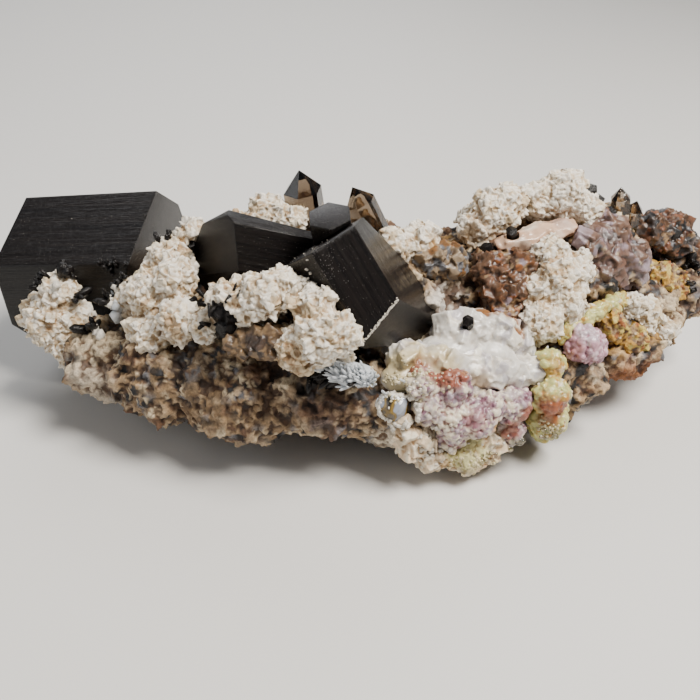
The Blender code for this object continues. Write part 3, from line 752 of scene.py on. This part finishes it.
def make_stained_rocks():
    iron = [(BROWN, 4), ((0.15, 0.062, 0.025), 3), ((0.10, 0.05, 0.028), 2), (TAN, 1.6), (RUST, 0.8),
            (LAVENDER, 0.7)]
    crust = Crust("iron_stained_quartz", 41)
    crust.grow("block", 0.9, (0.7, 2.0), iron, patch=1.8, jitter=0.15)
    crust.grow("block", 1.5, (0.3, 0.8), iron, patch=1.8, jitter=0.2)
    crust.finish(0.2, SATIN, rough=0.1, pits=0.6, depth=0.8)

    lavender = [((0.13, 0.07, 0.045), 4), ((0.17, 0.105, 0.085), 3), (LAVENDER, 2), (SLATE, 1), (CREAM, 0.5)]
    crust = Crust("lavender_rock", 42)
    crust.grow("block", 0.4, (1.2, 2.8), lavender, sink=0.38, patch=4.0, jitter=0.1)
    crust.grow("block", 1.0, (0.3, 0.9), lavender, sink=0.2, patch=3.0, jitter=0.3)
    crust.finish(0.22, SATIN, rough=0.08, pits=0.3, depth=0.9, soften=3, stains=[
        ((54, 4, 24), 4.4, (0.28, 0.24, 0.27), 0.7), ((45, 0, 27), 7, (0.13, 0.07, 0.05), 0.85)])

    dark = [(COAL, 3), (BROWN, 4), ((0.15, 0.06, 0.03), 2), ((0.06, 0.045, 0.04), 3), (SLATE, 1), (TAN, 1)]
    crust = Crust("dark_knob", 43)
    crust.grow("block", 0.9, (0.8, 2.4), dark, patch=2.0, jitter=0.15)
    crust.grow("block", 0.9, (0.4, 0.9), dark, patch=2.0)
    crust.finish(0.22, SATIN, rough=0.14, pits=0.6, depth=0.8)

    ochre = [(OCHRE, 4), (RUST, 1), (YELLOW, 3), (TAN, 2), (CREAM, 1), (BROWN, 1)]
    for name, seed in (("yellow_knob", 44), ("ochre_step", 45)):
        crust = Crust(name, seed)
        crust.grow("block", 0.9, (0.5, 1.7), ochre, patch=2.0, jitter=0.2)
        crust.grow("ball", 1.6, (0.3, 0.8), ochre, patch=1.5)
        crust.finish(0.18, ROCK, rough=0.1, pits=0.4, depth=0.8)

    mica = [((0.10, 0.06, 0.03), 3), ((0.19, 0.12, 0.06), 2), ((0.05, 0.03, 0.02), 2)]
    crust = Crust("mica_lens", 46)
    crust.grow("block", 1.2, (0.6, 2.0), mica, patch=1.5)
    crust.finish(0.18, SATIN, rough=0.06, pits=0.4)

    peach = [(PEACH, 4), ((0.64, 0.48, 0.37), 3), ((0.48, 0.31, 0.22), 1)]
    crust = Crust("porcelain_slab", 47)
    crust.grow("ball", 0.3, (1.0, 2.2), peach, sink=0.45, patch=5.0, jitter=0.05)
    crust.finish(0.18, GLAZE, rough=0.04, depth=0.5, stains=[
        ((29, -2.5, 31), 2, BROWN, 0.8), ((37, 2, 34), 2.4, (0.30, 0.22, 0.2), 0.6),
        ((30, 1, 35), 2.5, WHITE, 0.6)])


def make_glazes():
    """The smooth milky glaze: a dome behind and a sheet in front of it."""
    rim = [(22.1, -13, 24.3), (23.8, -13, 24.1), (25.4, -13.5, 23.6), (26.8, -14, 22.5), (27.7, -15, 21.5)]
    milk = [(MILK, 4), ((0.52, 0.49, 0.50), 2), (WHITE, 2)]
    for name, seed, lumps, stains in (
            ("hyalite_dome", 51, [
                ((16, -18, 20.2), (5, 3.4, 2.6), 0), ((22.5, -17, 19.6), (4.6, 3.2, 2.4), -15)],
             [(place, 1.9, RIM_BROWN, 0.95) for place in rim]),
            ("hyalite_sheet", 52, [
                ((12.4, -22.2, 19), (5.4, 2.6, 2.4), 5), ((21, -20.4, 17.2), (5.6, 2.8, 2.6), -12),
                ((8.2, -23.6, 18.4), (3.4, 2.4, 2.4), 0), ((27.4, -18.8, 16.4), (3.4, 2.6, 2.4), -20)],
             [((8.6, -25, 20.6), 5, (0.56, 0.46, 0.24), 0.85), ((14, -24, 20.6), 4.4, (0.54, 0.43, 0.2), 0.7),
              ((12.4, -24.6, 21.6), 2.2, BRICK, 0.9), ((21, -22.6, 17.6), 2.6, (0.46, 0.28, 0.10), 0.5)])):
        crust = Crust(name, seed)
        crust.add(lumps, MILK)
        crust.grow("block", 0.3, (1.4, 3.0), milk, sink=0.45, patch=3.0, jitter=0.1)
        crust.grow("block", 0.4, (0.8, 1.6), milk, sink=0.42, patch=3.0, jitter=0.1)
        crust.finish(0.17, GLAZE, rough=0.05, stains=stains, pits=0.2,
                     shade_tint=(0.42, 0.38, 0.34), depth=0.9, facet=0.08, soften=14)


def make_green_crusts():
    lime = [(LIME, 5), (YELLOW, 3), (OCHRE, 0.8), (IVORY, 1)]
    for name, seed, stains in (
            ("hyalite_green", 53, [
                ((34, -24, 13), 3.4, (0.25, 0.06, 0.02), 0.95), ((32, -24, 10), 2, RUST, 0.8),
                ((33.4, -20, 18), 2, OCHRE, 0.6)]),
            ("hyalite_ridge", 54, [])):
        crust = Crust(name, seed)
        crust.grow("ball", 1.0, (0.8, 1.9), lime, sink=0.25)
        crust.grow("ball", 3.2, (0.3, 0.7), lime, sink=-0.05, jitter=0.6)
        crust.finish(0.15, WAXY, rough=0.03, stains=stains, shade_tint=OCHRE, depth=0.6)


def make_opal_crust():
    """Small balls of purple, brick and cream."""
    purple = [(IVORY, 4), ((0.54, 0.47, 0.42), 3.5), ((0.38, 0.28, 0.29), 2.5), (LAVENDER, 1), (PURPLE, 1)]
    crust = Crust("opal_crust", 55)
    crust.grow("ball", 1.6, (0.8, 1.5), purple, sink=0.0, patch=1.6, jitter=0.5)
    crust.grow("ball", 2.6, (0.4, 0.8), purple, sink=-0.2, patch=1.6, jitter=0.5)
    crust.finish(0.14, WAXY, rough=0.04, shade_tint=(0.34, 0.18, 0.2), depth=0.9, stains=[
        ((12.9, -27, 16.1), 2.2, PURPLE, 0.9),
        ((16.1, -27, 15.6), 1.6, PURPLE, 0.9),
        ((19.9, -27.5, 13), 2.4, (0.30, 0.11, 0.13), 0.9),
        ((21.8, -26.5, 15.4), 1.8, PURPLE, 0.85),
        ((27.4, -24.5, 16.3), 2.6, (0.34, 0.26, 0.30), 0.7),
        ((9.7, -25.5, 22.2), 1.8, BRICK, 0.95),
        ((15.6, -25.5, 20.5), 4.2, BRICK, 0.95),
        ((22.4, -26, 12.8), 2, (0.26, 0.10, 0.11), 0.9),
        ((19, -24, 21.8), 2, (0.50, 0.32, 0.10), 0.8),
        ((26.3, -26.5, 9.4), 2.4, BRICK, 0.9),
        ((24, -27, 11), 1.6, (0.44, 0.26, 0.08), 0.8),
        ((16.4, -27.5, 9.1), 1.8, BRICK, 0.85),
        ((29.5, -25, 12.3), 2, BRICK, 0.9),
        ((14.4, -27.5, 13.8), 1.8, (0.24, 0.16, 0.10), 0.5),
    ])


def make_pink_opal():
    pink = [((0.42, 0.23, 0.28), 4), ((0.34, 0.20, 0.25), 2), ((0.54, 0.38, 0.42), 2)]
    crust = Crust("opal_pink", 56)
    crust.grow("ball", 0.5, (1.2, 2.2), pink, sink=0.1)
    crust.grow("ball", 2.4, (0.4, 1.0), pink, sink=-0.2, jitter=0.6)
    crust.finish(0.14, WAXY, rough=0.02, shade_tint=(0.4, 0.15, 0.2), depth=0.8, stains=[
        ((39.8, -14.5, 22.4), 3, (0.50, 0.44, 0.48), 0.7), ((36.8, -17.5, 20), 2.4, (0.38, 0.16, 0.15), 0.8)])


def make_golden_quartz():
    palette = [((0.22, 0.16, 0.10), 3), (SLATE, 2), ((0.19, 0.09, 0.03), 1), (BUFF, 1)]
    crust = Crust("quartz_golden", 61)
    crust.grow("block", 0.9, (0.8, 2.2), palette, patch=2.0)
    crust.finish(0.18, SATIN, rough=0.05, pits=0.4, depth=0.8)


# Crystals

AXES = {
    "tourmaline_left": (0.949, -0.273, 0.159),
    "tourmaline_middle": (-0.914, -0.243, 0.324),
    "tourmaline_centre": (0.517, -0.278, -0.81),
    "tourmaline_behind": (-0.12, -0.22, 0.97),
}
GROOVE_PITCH, GROOVE_DEPTH, CROSS_PITCH = 0.42, 0.05, 3.0
EDGE_ROUND, SHARP_ANGLE = 0.14, 0.15
# A side runs along the axis within this sine, and is at least this large, mm2
SIDE_TILT, SIDE_AREA = 0.12, 12.0
SMALL_EDGE_ROUND = 0.06 * MM
WELD, FLAT_ANGLE = 0.002, math.radians(1.0)


def crystal_bmesh(name):
    """A crystal's faces as single polygons, welded."""
    verts, tris = node_arrays(name)
    mesh = mesh_from(name + "_solid", verts, tris)
    bm = bmesh.new()
    bm.from_mesh(mesh)
    bpy.data.meshes.remove(mesh)
    bmesh.ops.remove_doubles(bm, verts=bm.verts[:], dist=WELD)
    bmesh.ops.dissolve_limit(bm, angle_limit=FLAT_ANGLE, verts=bm.verts[:], edges=bm.edges[:])
    bmesh.ops.recalc_face_normals(bm, faces=bm.faces[:])
    return bm


def cut_lines(bm, layer, group, direction, places):
    """Cut one side of a crystal along parallel lines."""
    for place in places:
        faces = [face for face in bm.faces if face[layer] == group]
        edges = {edge for face in faces for edge in face.edges}
        verts = {vert for face in faces for vert in face.verts}
        bmesh.ops.bisect_plane(bm, geom=list(verts) + list(edges) + faces, dist=1e-4,
                               plane_co=direction * place, plane_no=direction)


def groove_sides(bm, axis, rng):
    """Fine grooves along the crystal on each of its sides."""
    layer = bm.faces.layers.int.new("side")
    sides = [face for face in bm.faces
             if abs(face.normal.dot(axis)) < SIDE_TILT and face.calc_area() > SIDE_AREA]
    for group, face in enumerate(sides, start=1):
        face[layer] = group
    frames = [(face.normal.copy(), face.normal.cross(axis).normalized()) for face in sides]
    for group, (normal, across) in enumerate(frames, start=1):
        verts = {vert for face in bm.faces if face[layer] == group for vert in face.verts}
        spread = [vert.co.dot(across) for vert in verts]
        run = [vert.co.dot(axis) for vert in verts]
        lines = int((max(spread) - min(spread)) / GROOVE_PITCH)
        steps = rng.uniform(0.4, 1.6, size=lines + 1)
        places = min(spread) + np.cumsum(steps)[:-1] / steps.sum() * (max(spread) - min(spread))
        crosses = np.arange(min(run) + 0.5, max(run) - 0.3, CROSS_PITCH)
        cut_lines(bm, layer, group, axis, list(crosses))
        cut_lines(bm, layer, group, across, list(places))
        depths = {round(float(place), 2): float(depth) for place, depth in
                  zip(places, GROOVE_DEPTH * rng.random(len(places)) ** 2)}
        inner = {vert for face in bm.faces if face[layer] == group for vert in face.verts
                 if all(other[layer] == group for other in vert.link_faces)}
        for vert in inner:
            place = vert.co.dot(across)
            depth = min(depths.items(), key=lambda item: abs(item[0] - place))[1]
            fade = 0.6 + 0.4 * math.sin(vert.co.dot(axis) * 0.9 + place * 5.0)
            vert.co -= normal * depth * fade


def keep_local(obj, axis):
    """Store each corner's place in the crystal's own frame, for the material."""
    points = corners_of(obj)
    forward = np.array(axis) / np.linalg.norm(axis)
    side = np.cross(forward, (0.0, 0.3, 1.0))
    side /= np.linalg.norm(side)
    third = np.cross(forward, side)
    local = np.stack([points @ side, points @ third, points @ forward], axis=1)
    layer = obj.data.attributes.new("local", "FLOAT_VECTOR", "POINT")
    layer.data.foreach_set("vector", local.astype(np.float32).ravel())


def make_big_crystals():
    for seed, (name, axis) in enumerate(AXES.items(), start=71):
        rng = np.random.default_rng(seed)
        direction = Vector(axis).normalized()
        bm = crystal_bmesh(name)
        sharp = [edge for edge in bm.edges
                 if len(edge.link_faces) == 2 and edge.calc_face_angle(0.0) > SHARP_ANGLE]
        bmesh.ops.bevel(bm, geom=sharp, offset=EDGE_ROUND, segments=2, profile=0.6, affect="EDGES")
        bmesh.ops.recalc_face_normals(bm, faces=bm.faces[:])
        groove_sides(bm, direction, rng)
        bmesh.ops.triangulate(bm, faces=[face for face in bm.faces if len(face.verts) > 4])
        mesh = bpy.data.meshes.new(name + "_grooved")
        bm.to_mesh(mesh)
        bm.free()
        obj = new_object(name + "_grooved", mesh)
        keep_local(obj, axis)
        finish_piece(obj, SCHORL, [name])


SMALL_LOOKS = {
    "tourmaline": SMALL_SCHORL,
    "quartz_back": SMOKE,
    "quartz_right": SMOKE,
    "quartz_blue": PALE,
    "quartz_eye": EYE,
}


def dress_small_crystals():
    """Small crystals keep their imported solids, with rounded edges."""
    for name, obj in NODES.items():
        material = next((look for start, look in SMALL_LOOKS.items() if name.startswith(start)), None)
        if name in AXES or material is None:
            continue
        obj.data.materials.clear()
        obj.data.materials.append(material)
        rounding = obj.modifiers.new("rounding", "BEVEL")
        rounding.width = SMALL_EDGE_ROUND
        rounding.segments = 2
        rounding.limit_method = "ANGLE"


# Small crystals and crumbs that sit on the larger pieces

ROOT_REACH = 4 * MM
# How much a small crystal follows the surface under it and its own stated way
FOLLOW_SURFACE, FOLLOW_WAY = 0.7, 0.6
# Share of a small crystal's length by which its middle stands off its root
POINT_STAND, GRAIN_STAND = 0.25, 0.1
# The ends of two crystal edges with white grains along them, those on the first partly dust and partly a
# painted glint line, and the quartz eye with its rim
NOSE, NOSE_FOOT = (7.4, -23.6, 32.9), (2.3, -27.1, 27.7)
BACK_EDGE, BACK_EDGE_END = (-33.6, 2.0, 36.0), (-31.6, 12.0, 34.0)
EYE_PLACE, EYE_RADIUS = (7.3, -28.8, 15.4), 3.5
UP, FORWARD = (0.0, -0.3, 0.95), (0.0, -0.6, 0.7)


def surfaces():
    """Everything finished so far, for finding where a small crystal stands."""
    verts, faces, start = [], [], 0
    for obj in SKINS + [NODES["quartz_eye"], NODES["quartz_blue"]]:
        points = corners_of(obj)
        verts.extend(points.tolist())
        faces.extend([[index + start for index in face.vertices] for face in obj.data.polygons])
        start += len(points)
    return BVHTree.FromPolygons(verts, faces)


def turn_to(way, rng):
    """A random rotation whose third axis points a given way."""
    side = np.cross(way, rng.normal(size=3))
    side /= np.linalg.norm(side)
    return np.stack([side, np.cross(way, side), way])


def cluster(name, ground, material, kind, spots, colour=None, seed=0):
    """One piece of small crystals at several spots, each crystal rooted in what lies nearest.

    Each spot is (centre, reach, count, size, length, direction, spread).
    """
    rng = np.random.default_rng(seed)
    proto, tris = prototype(kind)
    parts = []
    for centre, reach, count, size, length, direction, spread in spots:
        for place in np.array(centre) + rng.normal(size=(count, 3)) * np.array(reach) * 0.5:
            width = size * rng.uniform(0.6, 1.3)
            tall = length * rng.uniform(0.6, 1.2)
            foot, out, _, _ = ground.find_nearest(Vector(to_row(place)), ROOT_REACH)
            wander = rng.normal(size=3) * spread
            if foot is None:
                continue
            way = np.array(out) * FOLLOW_SURFACE + np.array(direction) * FOLLOW_WAY + wander
            way /= np.linalg.norm(way)
            root = to_model(np.array(foot)) + way * tall * (POINT_STAND if kind == "point" else GRAIN_STAND)
            shaped = proto * np.array([width, width * 0.85, tall])
            parts.append((shaped @ turn_to(way, rng) + root, tris))
    verts, faces = join_arrays(parts)
    verts[:, 2] = np.maximum(verts[:, 2], 0.0)
    obj = new_object(name, mesh_from(name, verts, faces))
    if colour is not None:
        shade = rng.uniform(0.8, 1.1, size=(len(verts) // len(proto), 1))
        paint(obj, np.repeat(np.array(colour)[None, :] * shade, len(proto), axis=0))
    return finish_piece(obj, material, [])


def loose(spots):
    """Spots of grains that stand any way up, from (centre, reach, count, size, length)."""
    return [(*spot, UP, 1.0) for spot in spots]


def along(start, end, count, size, jitter=0.12):
    """Spots for white grains along a crystal's edge; along the first edge they also make a painted glint
    line.
    """
    steps = np.linspace(0.0, 1.0, count)
    line = np.array(start) * (1 - steps[:, None]) + np.array(end) * steps[:, None]
    return [(tuple(place), (jitter, jitter, jitter), 3, size, size * 1.2, UP, 1.0) for place in line]


def ring(centre, radius, count, size):
    """Spots in a slightly squashed ring that faces the front and up."""
    places = []
    for turn in np.linspace(0.0, 2 * math.pi, count, endpoint=False):
        side, rise = radius * math.cos(turn), radius * 0.85 * math.sin(turn)
        places.append((centre[0] + side, centre[1] + rise * 0.5, centre[2] + rise * 0.85))
    return [(place, (0.3, 0.3, 0.3), 4, size, size, UP, 1.0) for place in places]


def make_small_crystals():
    ground = surfaces()
    cluster("tourmaline_needles", ground, SMALL_SCHORL, "point", [
        ((-19, -23, 30), (3.4, 1.6, 3.4), 46, 0.7, 2, (0, -0.7, 0.6), 0.8),
        ((-21, -15.4, 29), (3, 1.5, 2), 22, 0.9, 2.2, (0.3, -0.6, 0.6), 0.7),
        ((-14.6, -17, 30.6), (4, 1.5, 1.6), 26, 0.8, 1.8, (0.3, -0.6, 0.6), 0.7),
        ((-49.3, -3.2, 30), (1.2, 1, 1.2), 5, 2.2, 2.6, (-0.2, -0.5, 0.8), 0.3),
        ((-45.4, -3.2, 29.4), (3.4, 1.4, 1.6), 40, 0.9, 1.5, FORWARD, 0.7),
        ((-42.6, -4, 27.6), (2.6, 1, 1.8), 22, 0.8, 1.4, FORWARD, 0.7),
        ((-45, -9.6, 23.8), (3, 1.8, 3), 16, 1.6, 3.2, (0.2, -0.5, 0.8), 0.5),
        ((-54, -3.6, 24.6), (2.2, 1, 1.8), 10, 1.4, 2.4, (-0.3, -0.6, 0.6), 0.5),
        ((-38.6, -7.4, 26.4), (3.4, 1.2, 2), 26, 0.8, 1.6, FORWARD, 0.7),
        ((-3, -27.2, 21.2), (3.4, 0.8, 1.2), 12, 1, 3.6, (-0.8, -0.3, -0.3), 0.25),
        ((-31.4, -4.6, 33.4), (1.8, 1, 1.2), 7, 1.2, 2, UP, 0.5),
        ((64.4, 7, 19), (1.6, 1.4, 1.6), 6, 1.4, 2.4, UP, 0.5),
        ((65.4, 12, 20), (1.8, 2, 2.4), 12, 1.3, 2.4, UP, 0.7),
        ((14, 22, 24), (4, 2, 2), 10, 1.4, 2.4, (0.1, 0.6, 0.8), 0.5),
        ((-22, 24, 20), (4, 2, 2), 14, 1.4, 2.4, (-0.2, 0.7, 0.7), 0.5),
        ((44, 22, 22), (3, 2, 2), 10, 1.6, 2.6, (0.2, 0.6, 0.8), 0.5),
    ], seed=81)
    cluster("quartz_blades", ground, PALE, "point", [
        ((-0.6, -28.4, 22.6), (4, 1, 1.6), 60, 0.6, 2, (-1.1, -0.2, 1.5), 0.15),
        ((1.6, -28.4, 21), (4, 1, 1.8), 50, 0.6, 1.8, (-1.1, -0.2, 1.5), 0.15),
        ((4, -28, 20.4), (2, 1, 1.8), 30, 0.4, 1.6, (-0.4, -0.4, 1.4), 0.2),
        ((-40, -10.4, 22.4), (1.6, 1, 1.4), 6, 1.8, 2.6, (0.3, -0.5, 0.8), 0.4),
        ((-40.4, -8.2, 24.6), (3.6, 1.2, 1.6), 20, 0.8, 1.2, FORWARD, 0.8),
        ((31.6, -17, 18.4), (1.6, 1, 1.2), 12, 0.7, 1.4, (0.5, -0.4, 0.6), 0.6),
        ((4.6, -27.4, 17.6), (2.2, 1, 2), 14, 0.5, 1.1, (0.2, -0.6, 0.7), 0.6),
    ], seed=82)
    # White grains along the centre crystal's edge: partly dust, partly a painted glint line.
    chips_and_glint_line = along(NOSE, NOSE_FOOT, 48, 0.15, 0.26)
    chips_and_glint_line += along(BACK_EDGE, BACK_EDGE_END, 14, 0.3, 0.3)
    chips_and_glint_line += ring(EYE_PLACE, EYE_RADIUS, 46, 0.55)
    cluster("feldspar_crumbs_and_edge_glint", ground, CHALKY, "block", loose([
        ((-43, -9.6, 27.4), (2.6, 0.8, 0.8), 12, 0.9, 1),
        ((-43.1, -11.4, 22.6), (1.2, 0.8, 1), 10, 1, 1.2),
        ((-48, -7.6, 29.4), (1.4, 0.8, 1.4), 12, 0.9, 1.2),
        ((-13, -17.4, 32), (7, 1, 1.4), 40, 0.4, 0.5),
        ((-6.6, -22, 33.6), (1, 0.8, 7), 26, 0.35, 0.5),
        ((-11.5, -21, 29), (5, 1.6, 2.6), 40, 0.6, 0.8),
        ((7.4, -27.6, 19), (3, 1.4, 2.6), 40, 0.4, 0.4),
        ((12, -28.4, 8), (5, 1, 4), 60, 0.6, 0.6),
        ((20, -26, 8), (6, 1.2, 2), 30, 0.4, 0.4),
        ((-54, 2, 35), (16, 9, 3), 12, 0.13, 0.13),
        ((-12, -17, 36), (12, 2, 5), 10, 0.13, 0.13),
    ]) + chips_and_glint_line, colour=WHITE, seed=83)
    cluster("crystal_dust", ground, CHALKY, "block", loose([
        ((-36, 6, 30), (2, 9, 6), 150, 0.06, 0.06),
        ((-56, 4, 35), (18, 9, 3), 110, 0.06, 0.06),
        ((-9, -18, 34), (9, 2, 4), 130, 0.06, 0.06),
        ((-3.6, -24, 36), (3, 2, 6), 150, 0.06, 0.06),
        ((12, -12, 34), (8, 6, 8), 80, 0.06, 0.06),
    ]), colour=(0.26, 0.24, 0.22), seed=86)
    cluster("yellow_sugar", ground, CHALKY, "ball", loose([
        ((8.4, -26.4, 20.4), (5, 1.6, 2.6), 150, 0.5, 0.5),
        ((6, -27.4, 18.6), (2.6, 1.4, 2.6), 70, 0.45, 0.45),
        ((20.5, -28.6, 5), (5, 1.4, 2.4), 110, 0.55, 0.55),
        ((33.6, -24, 8), (2.6, 1.2, 2), 60, 0.5, 0.5),
    ]), colour=(0.62, 0.54, 0.34), seed=85)
    cluster("clear_drops", ground, DROP, "ball", loose([
        ((33.2, -24.4, 7.4), (1.8, 0.8, 1.4), 9, 1.1, 1.1),
        ((28, -26, 6), (2, 0.8, 1.2), 8, 1, 1),
        ((22.4, -27.8, 5), (1.4, 0.8, 1.2), 6, 0.9, 0.9),
    ]), seed=84)


# Stage, lengths in metres

FLOOR_SIZE, FLOOR_DROP = 3.0, 0.0002


def make_stage():
    bpy.ops.mesh.primitive_plane_add(size=FLOOR_SIZE, location=(0.0, 0.0, -FLOOR_DROP))
    floor = bpy.context.object
    floor.name = "floor"
    material, _, shader = node_material("pale_floor")
    set_inputs(shader, {"Base Color": (0.66, 0.65, 0.63, 1.0), "Roughness": 0.55})
    floor.data.materials.append(material)

    world = bpy.data.worlds.new("soft_grey")
    bpy.context.scene.world = world
    world.use_nodes = True
    set_inputs(world.node_tree.nodes["Background"], {"Color": (0.80, 0.82, 0.86, 1.0), "Strength": 0.17})


def add_softbox(name, place, aim, size, power, colour=(1.0, 1.0, 1.0)):
    light = bpy.data.lights.new(name, "AREA")
    light.shape = "SQUARE"
    light.size = size
    light.energy = power
    light.color = colour
    obj = new_object(name, light)
    obj.location = place
    obj.rotation_euler = (Vector(aim) - Vector(place)).to_track_quat("-Z", "Y").to_euler()


def make_lights():
    middle = (0.0, 0.0, 0.02)
    add_softbox("key", (0.20, -0.10, 0.42), middle, 0.20, 5.0, (1.0, 0.95, 0.88))
    add_softbox("fill", (-0.42, -0.16, 0.22), middle, 0.36, 0.7)
    add_softbox("back", (-0.10, 0.45, 0.30), middle, 0.40, 1.4)


def make_camera():
    camera = bpy.data.cameras.new("camera")
    camera.sensor_width = SENSOR_MM
    camera.lens = SENSOR_MM * CAMERA_FOCUS_PX / PHOTO_PX
    camera.clip_start = 0.01
    obj = new_object("camera", camera)
    obj.location = to_row(CAMERA_PLACE)
    obj.rotation_euler = (math.radians(90.0 - CAMERA_PITCH), 0.0, 0.0)
    bpy.context.scene.camera = obj


make_camera()
make_stage()
make_lights()
make_big_crystals()
dress_small_crystals()
make_matrix()
make_feldspars()
make_feldspar_foot()
make_stained_rocks()
make_glazes()
make_green_crusts()
make_opal_crust()
make_pink_opal()
make_golden_quartz()
make_small_crystals()
